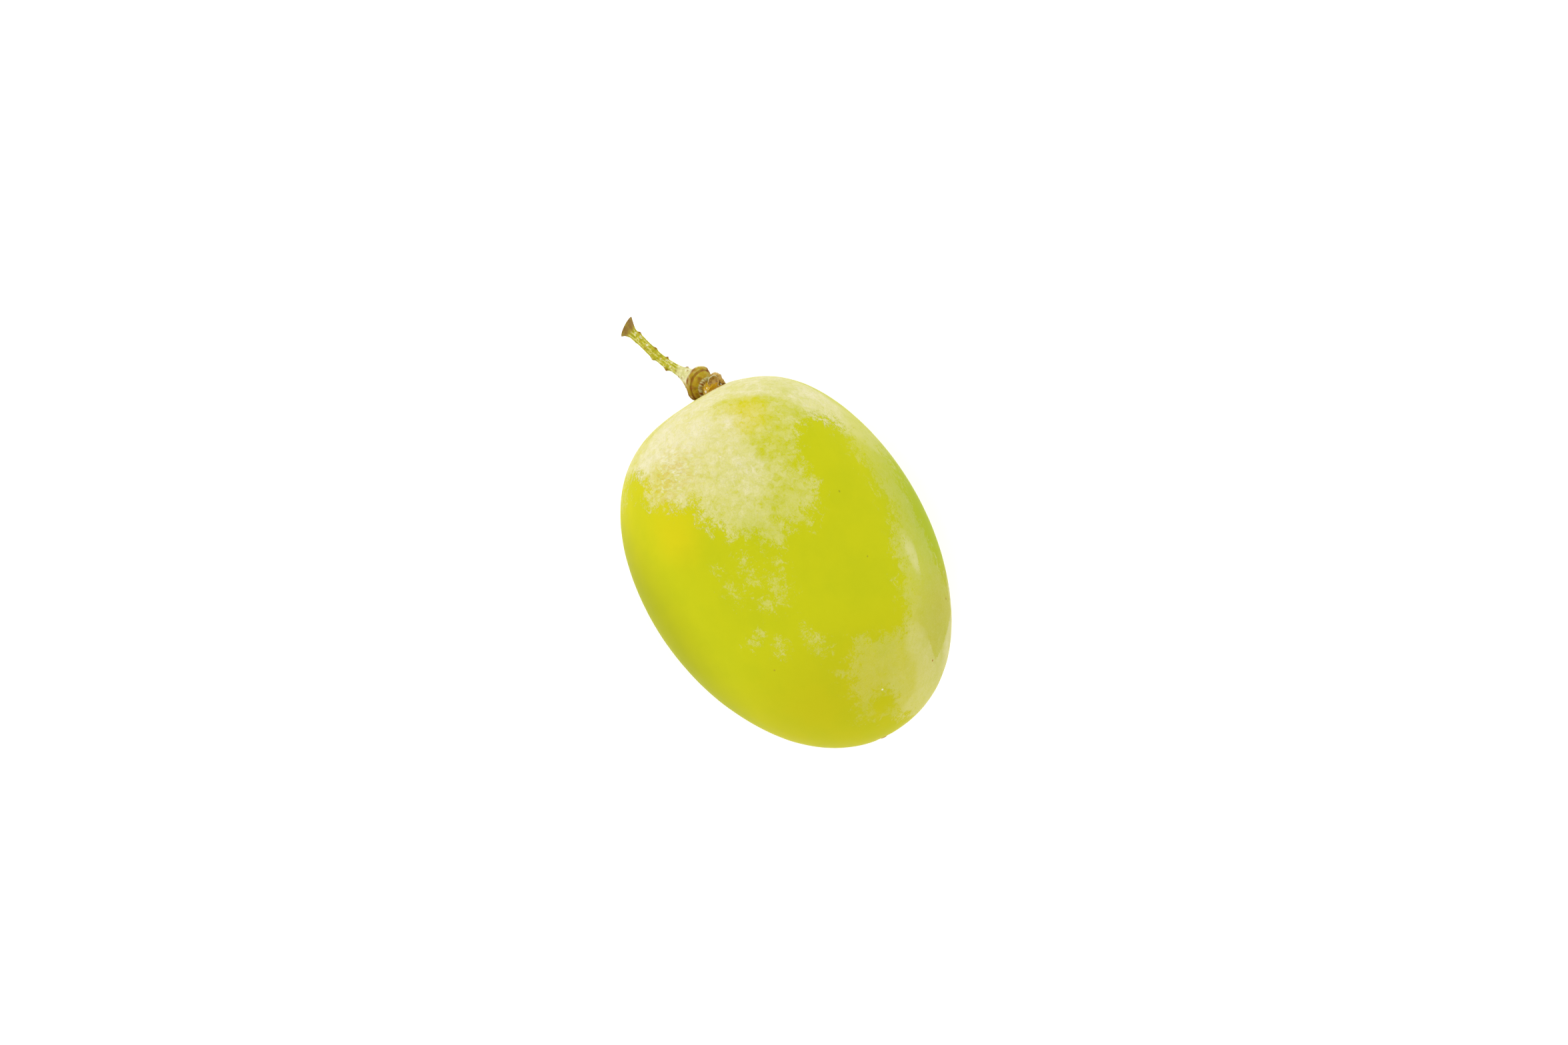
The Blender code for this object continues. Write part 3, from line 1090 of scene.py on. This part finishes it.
    def bark(
        self, s: float, turn: float, radius: float, rank: float, end: float
    ) -> tuple[float, float]:
        """Works out the relief of the bark at one place.

        Args:
            s: mm along the centre line.
            turn: radians round it.
            radius: mm from the centre line before any relief.
            rank: rank of the tissue.
            end: mm along the centre line at which the heel ends.

        Returns:
            The radius with its relief in mm, and how brown the place is, or below 0 how far up
            one of the stalk's pale ridges it is, where the bark is drawn pale, partly as painted
            highlight.
        """
        ring = Vector((math.cos(turn), math.sin(turn), 0.0))
        wave = noise.noise(ring * 1.1 + Vector((0.0, 0.0, s * 1.3)))
        coarse = noise.noise(ring * 3.2 + Vector((5.0, 0.0, s * 3.0)))
        fine = noise.noise(ring * 9.0 + Vector((0.0, 7.0, s * 8.0)))
        oval = abs(math.sin(turn - math.radians(self.oval_turn))) ** 2.4
        radius *= 1.03 - self.oval * oval * clamp((2.4 - s) / 0.6)
        if rank < Tissue.FIBRE.rank - 0.5:
            return radius * (1 + 0.12 * wave + 0.16 * coarse) + 0.05 * fine, 0.0
        if rank < Tissue.INNER_RING.rank - 0.5:
            tooth = math.cos(turn * 26 + 6.0 * wave)
            gap = max(0.0, coarse - 0.25 * tooth) * (1.6 - 1.2 * math.sin(turn))
            return radius * (1 + 0.014 * tooth + 0.05 * coarse) + 0.02 * fine, gap
        if rank < Tissue.FLARE.rank - 0.5:
            return radius * (1 + 0.045 * wave + 0.022 * coarse) + 0.012 * fine, max(0.0, coarse)
        ridge = 0.5 + 0.5 * math.cos(turn * 9 + 2.2 * noise.noise(Vector((s * 0.9, 0.0, 3.0))))
        bare = clamp((s - 2.0) / 1.5) * clamp((end - s) / 0.5)
        radius += bare * 0.05 * (ridge - 0.5) + 0.03 * wave + 0.018 * coarse + 0.007 * fine
        brown = -bare * ridge
        for wart in self.warts:
            aside = (turn - math.radians(wart.turn) + math.pi) % (2 * math.pi) - math.pi
            distance = math.hypot(s - wart.along, aside * radius) / wart.size
            if distance < 2.0:
                radius += wart.height * math.exp(-(distance**2) * 1.6)
                brown = max(brown, wart.brown * math.exp(-(distance**2) * 2.6))
        return radius, brown

    def spilt(self, s: float, turn: float) -> float:
        """Tells how many ranks of tissue the cork has spilt over the lip at one place.

        Args:
            s: mm along the centre line.
            turn: radians round it.

        Returns:
            0 where the lip and the flare show as they grew.
        """
        near_lip = clamp((s - 1.44) / 0.08) * clamp((2.9 - s) / 0.5)
        return 2.4 * near_lip * max(0.0, math.cos(turn - math.radians(self.spill_turn)))

    def build(self, bark: bpy.types.Material) -> bpy.types.Object:
        """Builds the pedicel.

        Args:
            bark: the material of the whole pedicel, which reads its tissue.

        Returns:
            The piece, which stands for the CAD node pedicel.
        """
        line, gone = self.centre_line()
        end = float(gone[-1])
        points, tissues, browns = [], [], []
        rows = self.rows(end)
        for s, radius, rank in rows:
            at = Vector([float(np.interp(s, gone, line[:, axis])) for axis in range(3)])
            near = Vector([float(np.interp(s - 0.1, gone, line[:, axis])) for axis in range(3)])
            bent = clamp((s - self.flare_top + 1.2) / 1.6)
            forth = self.outward.lerp((at - near).normalized(), bent).normalized()
            torn_by = clamp(1 - (end - s) / self.heel_length)
            forth = Matrix.Rotation(math.radians(self.heel_tilt) * torn_by, 3, "Z") @ forth
            at += forth * max(0.0, s - end)
            side = forth.cross(UP).normalized()
            side *= math.copysign(1.0, side.y)
            top = side.cross(forth)
            top *= math.copysign(1.0, top.z)
            upright = 0.86 if s > end - self.heel_length else 1.0
            for turn in turns(self.columns):
                reach, brown = self.bark(min(s, end), float(turn), radius, rank, end)
                reach *= radius / self.heel_radius if s > end else 1.0
                spoke = top * math.cos(turn) * upright + side * math.sin(turn)
                points.append(self.seat + (at + spoke * reach) * MM)
                tissues.append(rank - self.spilt(s, float(turn)))
                browns.append(brown)
        faces = tube_faces(len(rows), self.columns, capped=True)
        values = {"tissue": np.array(tissues), "brown": np.array(browns)}
        obj = mesh_object("grape_pedicel", np.array(points), faces, values)
        return dress(obj, bark, ("pedicel",))


@dataclass(frozen=True)
class StalkBark:
    """Green bark, cork and torn fibre of a grape's stalk.

    Young bark gives the eye a pale yellow-green with lengthwise fibres and brown warts. The
    receptacle's face has dried to ochre cork, and the flesh at its neck is wet and amber. Bark
    fibres are some hundredths of a millimetre wide, too fine to show, and are drawn coarser.

    Attributes:
        light: how much more light falls on it than on a card that just looks white.
        leafy: colour of green patches of the bare stalk.
        chalky: colour of dry pale patches of bark.
        ridge: colour of the pale ridges along the stalk, on their crests: partly pale bark, partly
            painted highlight.
        pit: colour of the pits in the bark.
        neck_glint: colour of the painted highlights on the wet flesh at the neck.
        wart: colour of the tips of the warts.
        dry_rough: roughness of bark and cork.
        wet_rough: roughness of the flesh.
        specular: specular level of both.
        patch_mm: size of the patches.
        pit_mm: distance between pits.
        fibre_mm: width of a fibre.
        fibre_height_mm: how far a fibre stands out.
        neck_glint_mm: size of such a highlight.
    """

    light: float
    leafy: str = "#a5a30c"
    chalky: str = "#f2efcc"
    ridge: str = "#e6e088"
    pit: str = "#7c6a24"
    neck_glint: str = "#fff6d2"
    wart: str = "#94560f"
    dry_rough: float = 0.52
    wet_rough: float = 0.12
    specular: float = 0.14
    patch_mm: float = 0.30
    pit_mm: float = 0.15
    fibre_mm: float = 0.11
    fibre_height_mm: float = 0.03
    neck_glint_mm: float = 0.22

    def build(self) -> bpy.types.Material:
        """Builds the bark's material, which goes by the tissue that each point belongs to."""
        material, tree = empty_material("pedicel_bark_and_cork")
        share = 1 / self.light
        place = place_in_mm(tree)
        tissue, brown = (
            add(tree, "Attribute", attribute_name=name).node.outputs["Fac"]
            for name in ("tissue", "brown")
        )
        wander = add(tree, "TexNoise", place, 2.6, 4.0, 0.6)
        wander = add(tree, "Math", wander, 1.7, -0.85, operation="MULTIPLY_ADD")
        rank = add(tree, "Math", tissue, wander, operation="ADD")
        rank = add(tree, "Math", rank, Tissue.TORN.rank, operation="DIVIDE")
        colour = add(tree, "ValToRGB", rank)
        stops = colour.node.color_ramp.elements
        stops.remove(stops[-1])
        for kind in Tissue:
            stop = stops.new(kind.rank / Tissue.TORN.rank) if kind.rank else stops[0]
            stop.color = linear(kind.value, share)
        from_lip = add(tree, "MapRange", tissue, 5.6, 6.0)
        to_heel = add(tree, "MapRange", tissue, 7.5, 7.1)
        green_bark = add(tree, "Math", from_lip, to_heel, operation="MULTIPLY")
        from_flare = add(tree, "MapRange", tissue, 6.1, 7.0, 0.35, 1.0)
        leafy_bark = add(tree, "Math", from_flare, to_heel, operation="MULTIPLY")
        patchy = add(tree, "TexNoise", place, 1 / self.patch_mm, 4.0, 0.6)
        pits = add(tree, "TexVoronoi", place, 1 / self.pit_mm)
        pits = add(tree, "Math", patchy, 0.9, pits, operation="MULTIPLY_ADD")
        # On the bare stalk the crests of the ridges are drawn pale: partly pale bark, partly
        # painted highlight on the raised ridges.
        for pattern, low, high, most, hue, where in (
            (patchy, 0.46, 0.58, 0.85, self.leafy, leafy_bark),
            (brown, -0.62, -0.96, 0.75, self.ridge, leafy_bark),
            (patchy, 0.42, 0.36, 0.95, self.chalky, green_bark),
            (pits, 0.60, 0.50, 0.85, self.pit, green_bark),
        ):
            drawn = add(tree, "MapRange", pattern, low, high, 0.0, most)
            drawn = add(tree, "Math", drawn, where, operation="MULTIPLY")
            colour = add(tree, "Mix", drawn, colour, linear(hue, share), data_type="RGBA")
        # Painted highlights: pale flecks on the neck's wet flesh.
        neck_glints = add(tree, "TexNoise", place, 1 / self.neck_glint_mm, 2.0, 0.5)
        neck_glints = add(tree, "MapRange", neck_glints, 0.60, 0.68)
        neck = add(tree, "MapRange", tissue, 0.5, 0.2)
        neck_glints = add(tree, "Math", neck_glints, neck, operation="MULTIPLY")
        colour = add(tree, "Mix", neck_glints, colour, linear(self.neck_glint, share), data_type="RGBA")
        corky = add(tree, "Math", brown, 1.6, operation="MULTIPLY", use_clamp=True)
        colour = add(tree, "Mix", corky, colour, linear(self.wart, share), data_type="RGBA")
        rough = add(tree, "MapRange", tissue, 0.4, 0.9, self.wet_rough, self.dry_rough)
        fibre = add(tree, "TexNoise", place, 1 / self.fibre_mm, 4.0, 0.6)
        bump = add(tree, "Bump", 1.0, self.fibre_height_mm * MM, named={"Height": fibre})
        shader = add(
            tree,
            "BsdfPrincipled",
            named={
                "Base Color": colour,
                "Roughness": rough,
                "Normal": bump,
                "IOR": 1.45,
                "Specular IOR Level": self.specular,
            },
        )
        add(tree, "OutputMaterial", shader)
        return material


# ---------------------------------------------------------------- the withered calyx


@dataclass
class Calyx:
    """What is left of the flower's calyx beside the neck: a cupped scale and a curled lobe.

    Attributes:
        seat: where the stalk's axis meets the berry.
        cup_at: the cup's middle in mm from the seat.
        cup_radius: radius of the ball that the cup is cut from, in mm.
        cup_spread: degrees from the cup's axis to its rim.
        cup_faces: direction that the cup opens in.
        cup_wall: thickness of the cup in mm.
        lobe: middle line of the curled lobe in mm from the seat, with its radius there.
    """

    seat: Vector
    cup_at: tuple[float, float, float] = (-0.52, 0.44, 0.80)
    cup_radius: float = 0.60
    cup_spread: float = 50.0
    cup_faces: tuple[float, float, float] = (0.22, 0.10, 0.95)
    cup_wall: float = 0.036
    lobe: tuple[tuple[float, float, float, float], ...] = (
        (-0.95, 0.50, 0.10, 0.14),
        (-0.95, 0.80, 0.50, 0.19),
        (-0.72, 1.02, 0.60, 0.21),
        (-0.35, 1.00, 0.50, 0.24),
        (-0.02, 1.06, 0.32, 0.17),
        (0.16, 1.16, 0.18, 0.05),
    )

    def build_cup(self, dry: bpy.types.Material) -> bpy.types.Object:
        """Builds the cupped scale: a thin bowl with a wavy, pale rim, brighter on its -X side as
        painted highlight.

        Args:
            dry: the material of withered calyx.

        Returns:
            The piece, which stands for the CAD node calyx_scale.
        """
        rows, columns, spread = 14, 56, math.radians(self.cup_spread)
        outside = [(row / rows, self.cup_radius) for row in range(rows + 1)]
        inside = [(share, radius - self.cup_wall) for share, radius in reversed(outside)]
        turned = Vector(self.cup_faces).to_track_quat("Z", "Y").to_matrix()
        points, paleness_and_highlight = [], []
        for share, radius in outside + inside:
            for turn in turns(columns):
                wave = noise.noise(Vector((math.cos(turn), math.sin(turn), 2.0)) * 1.6)
                polar = max(share, 0.001) * spread * (1 + 0.16 * wave * share)
                ring = math.sin(polar) * radius * (1 + 0.06 * wave)
                wide = 1.18 if math.cos(turn) > 0 else 0.95
                local = Vector((ring * math.cos(turn) * wide, ring * math.sin(turn) * 0.9, 0.0))
                local.z = math.cos(spread) * self.cup_radius - math.cos(polar) * radius
                placed = turned @ local
                points.append(self.seat + (Vector(self.cup_at) + placed) * MM)
                # Near the rim the cup is drawn pale, brighter on its -X side as painted highlight.
                paleness_and_highlight.append(share * (0.80 - 0.42 * placed.x / self.cup_radius))
        faces = tube_faces(len(outside + inside), columns)
        obj = mesh_object("calyx_cup", np.array(points), faces, {"rim": np.array(paleness_and_highlight)})
        return dress(obj, dry, ("calyx_scale",))

    def build_lobe(self, dry: bpy.types.Material) -> bpy.types.Object:
        """Builds the curled lobe behind the cup, which tapers off along the berry's shoulder.

        Args:
            dry: the material of withered calyx.

        Returns:
            The piece.
        """
        columns = 48
        line = curve_through([np.array(knot) for knot in self.lobe], 14)
        points, paleness_and_highlight = [], []
        for row, (x, y, z, wide) in enumerate(line):
            at = Vector((x, y, z))
            ahead = Vector(line[min(row + 1, len(line) - 1), :3])
            behind = Vector(line[max(row - 1, 0), :3])
            forth = (ahead - behind).normalized()
            side = UP.cross(forth).normalized()
            top = forth.cross(side)
            for turn in turns(columns):
                spoke = side * math.cos(turn) * 0.8 + top * math.sin(turn)
                lump = noise.noise((at + spoke * 0.4) * 3.5)
                fine = noise.noise((at + spoke * 0.4) * 11.0)
                swell = 1 + 0.34 * lump + 0.1 * fine
                points.append(self.seat + (at + spoke * wide * swell) * MM)
                # Its bulges are drawn pale: painted highlight on the lobe's bulges.
                paleness_and_highlight.append(0.5 + 0.5 * lump)
        faces = tube_faces(len(line), columns, capped=True)
        obj = mesh_object("calyx_lobe", np.array(points), faces, {"rim": np.array(paleness_and_highlight)})
        return dress(obj, dry)


@dataclass(frozen=True)
class DryCalyx:
    """Withered calyx: thin leaf dried to parchment.

    It gives the eye a tan, parched shell, mottled with brown, and a bright thin edge. The edge is
    drawn brighter on the cup's -X side, and the lobe's bulges pale, as painted highlight.

    Attributes:
        light: how much more light falls on it than on a card that just looks white.
        brown: colour of the mottles.
        tan: colour of the leaf between them.
        near_rim: colour of the leaf close to its edge, and round painted highlights.
        rim: colour of the edge, and of painted highlights.
        mottle_mm: size of the mottles.
        mottle_height_mm: how far they stand out.
        rough: its roughness.
        specular: its specular level.
    """

    light: float
    brown: str = "#9c6e20"
    tan: str = "#cda84e"
    near_rim: str = "#cfc48c"
    rim: str = "#efe6b4"
    mottle_mm: float = 0.25
    mottle_height_mm: float = 0.03
    rough: float = 0.42
    specular: float = 0.4

    def build(self) -> bpy.types.Material:
        """Builds the material of withered calyx, pale at the cup's rim, with painted highlights
        there and on the lobe's bulges.
        """
        material, tree = empty_material("withered_calyx_leaf")
        share = 1 / self.light
        place = place_in_mm(tree)
        rim = add(tree, "Attribute", attribute_name="rim").node.outputs["Fac"]
        mottle = add(tree, "TexNoise", place, 1 / self.mottle_mm, 4.0, 0.6)
        colour = linear(self.brown, share)
        for pattern, low, high, hue in (
            (mottle, 0.34, 0.56, self.tan),
            (rim, 0.72, 0.96, self.near_rim),
            (rim, 0.92, 1.02, self.rim),
        ):
            drawn = add(tree, "MapRange", pattern, low, high)
            colour = add(tree, "Mix", drawn, colour, linear(hue, share), data_type="RGBA")
        bump = add(tree, "Bump", 1.0, self.mottle_height_mm * MM, named={"Height": mottle})
        named = {"Base Color": colour, "Roughness": self.rough, "Normal": bump}
        named |= {"Specular IOR Level": self.specular}
        add(tree, "OutputMaterial", add(tree, "BsdfPrincipled", named=named))
        return material


# ---------------------------------------------------------------- the studio


@dataclass(frozen=True)
class WhiteBoard:
    """Matt white card for the floor, whose pulp gives the eye a faint unevenness.

    It is lit from below a little, as on a light table, so that it stays white beside the fruit.
    A fibre of pulp is some hundredths of a millimetre thick, too fine to show, so the pulp is
    drawn as coarse as its clouds.

    Attributes:
        bright: colour of most of the card.
        dull: colour of the clouds in its pulp.
        pulp_mm: size of the clouds.
        rough: its roughness.
        specular: its specular level.
        glow: strength of the light from below.
    """

    bright: str = "#ffffff"
    dull: str = "#fafaf9"
    pulp_mm: float = 1.2
    rough: float = 0.9
    specular: float = 0.1
    glow: float = 0.12

    def build(self) -> bpy.types.Material:
        """Builds the card's material."""
        material, tree = empty_material("matt_white_card")
        pulp = add(tree, "TexNoise", place_in_mm(tree), 1 / self.pulp_mm, 3.0, 0.6)
        bright, dull = linear(self.bright), linear(self.dull)
        colour = add(tree, "Mix", pulp, bright, dull, data_type="RGBA")
        named = {"Base Color": colour, "Roughness": self.rough}
        named |= {"Specular IOR Level": self.specular}
        named |= {"Emission Color": linear(self.bright), "Emission Strength": self.glow}
        add(tree, "OutputMaterial", add(tree, "BsdfPrincipled", named=named))
        return material


@dataclass
class Studio:
    """A pale floor, soft light all round, one broad lamp, and the camera above.

    Attributes:
        target: the point that the camera looks at.
        across: width of what the camera sees at the target, in metres.
        roll: degrees that the picture's right-hand side is turned from +X.
        lens: the camera's focal length in mm.
        sensor: width of its sensor in mm.
        sky: strength of the light all round.
        lamp_power: power of the lamp in watts.
        lamp_away: from the target to the lamp, in metres.
        lamp_side: side of the square lamp in metres.
        floor_reach: half the floor's side in metres.
    """

    target: Vector
    across: float = 117.6 * MM
    roll: float = 57.57
    lens: float = 100.0
    sensor: float = 36.0
    sky: float = 1.33
    lamp_power: float = 0.35
    lamp_away: tuple[float, float, float] = (-0.42, -0.16, 0.30)
    lamp_side: float = 0.4
    floor_reach: float = 2.2

    def build_room(self) -> None:
        """Lights the room evenly with pale light and shows it without a film look."""
        world = bpy.data.worlds.new("white_tent")
        world.use_nodes = True
        background = world.node_tree.nodes["Background"]
        background.inputs["Color"].default_value = (1.0, 1.0, 1.0, 1.0)
        background.inputs["Strength"].default_value = self.sky
        bpy.context.scene.world = world
        bpy.context.scene.view_settings.view_transform = "Standard"
        bpy.context.scene.view_settings.look = "None"

    def build_lamp(self) -> None:
        """Hangs one square softbox off the stalk's side, looking at the berry."""
        lamp = bpy.data.lights.new("stalk_side_softbox", "AREA")
        lamp.size = self.lamp_side
        lamp.energy = self.lamp_power
        obj = bpy.data.objects.new("stalk_side_softbox", lamp)
        obj.location = self.target + Vector(self.lamp_away)
        obj.rotation_mode = "QUATERNION"
        obj.rotation_quaternion = (-Vector(self.lamp_away)).to_track_quat("-Z", "Y")
        bpy.context.scene.collection.objects.link(obj)

    def build_floor(self, board: bpy.types.Material) -> None:
        """Lays a wide sheet of the given board under the berry."""
        corners = np.array([(-1, -1, 0), (1, -1, 0), (1, 1, 0), (-1, 1, 0)]) * self.floor_reach
        obj = mesh_object("floor", corners, [(0, 1, 2, 3)])
        obj.data.materials.append(board)

    def build_camera(self) -> None:
        """Hangs the camera straight above its target."""
        camera = bpy.data.cameras.new("camera")
        camera.lens = self.lens
        camera.sensor_width = self.sensor
        obj = bpy.data.objects.new("camera", camera)
        obj.location = self.target + UP * self.across * self.lens / self.sensor
        obj.rotation_euler = (0.0, 0.0, math.radians(self.roll))
        bpy.context.scene.collection.objects.link(obj)
        bpy.context.scene.camera = obj


def main() -> None:
    """Builds the grape piece by piece, then the studio round it."""
    logging.basicConfig(level=logging.INFO, format="%(message)s")
    berry = Berry(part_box("berry"), Bloom())
    dry = DryCalyx(LIGHT).build()
    calyx = Calyx(berry.seat)
    for piece in (
        berry.build(GrapeSkin(LIGHT).build(berry)),
        Pedicel(berry.seat).build(StalkBark(LIGHT).build()),
        calyx.build_cup(dry),
        calyx.build_lobe(dry),
    ):
        log.info("built %s with %d faces", piece.name, len(piece.data.polygons))
    studio = Studio(target=Vector((-2.24 * MM, 1.38 * MM, berry.axis_height)))
    studio.build_room()
    studio.build_lamp()
    studio.build_floor(WhiteBoard().build())
    studio.build_camera()


if __name__ == "__main__":
    main()
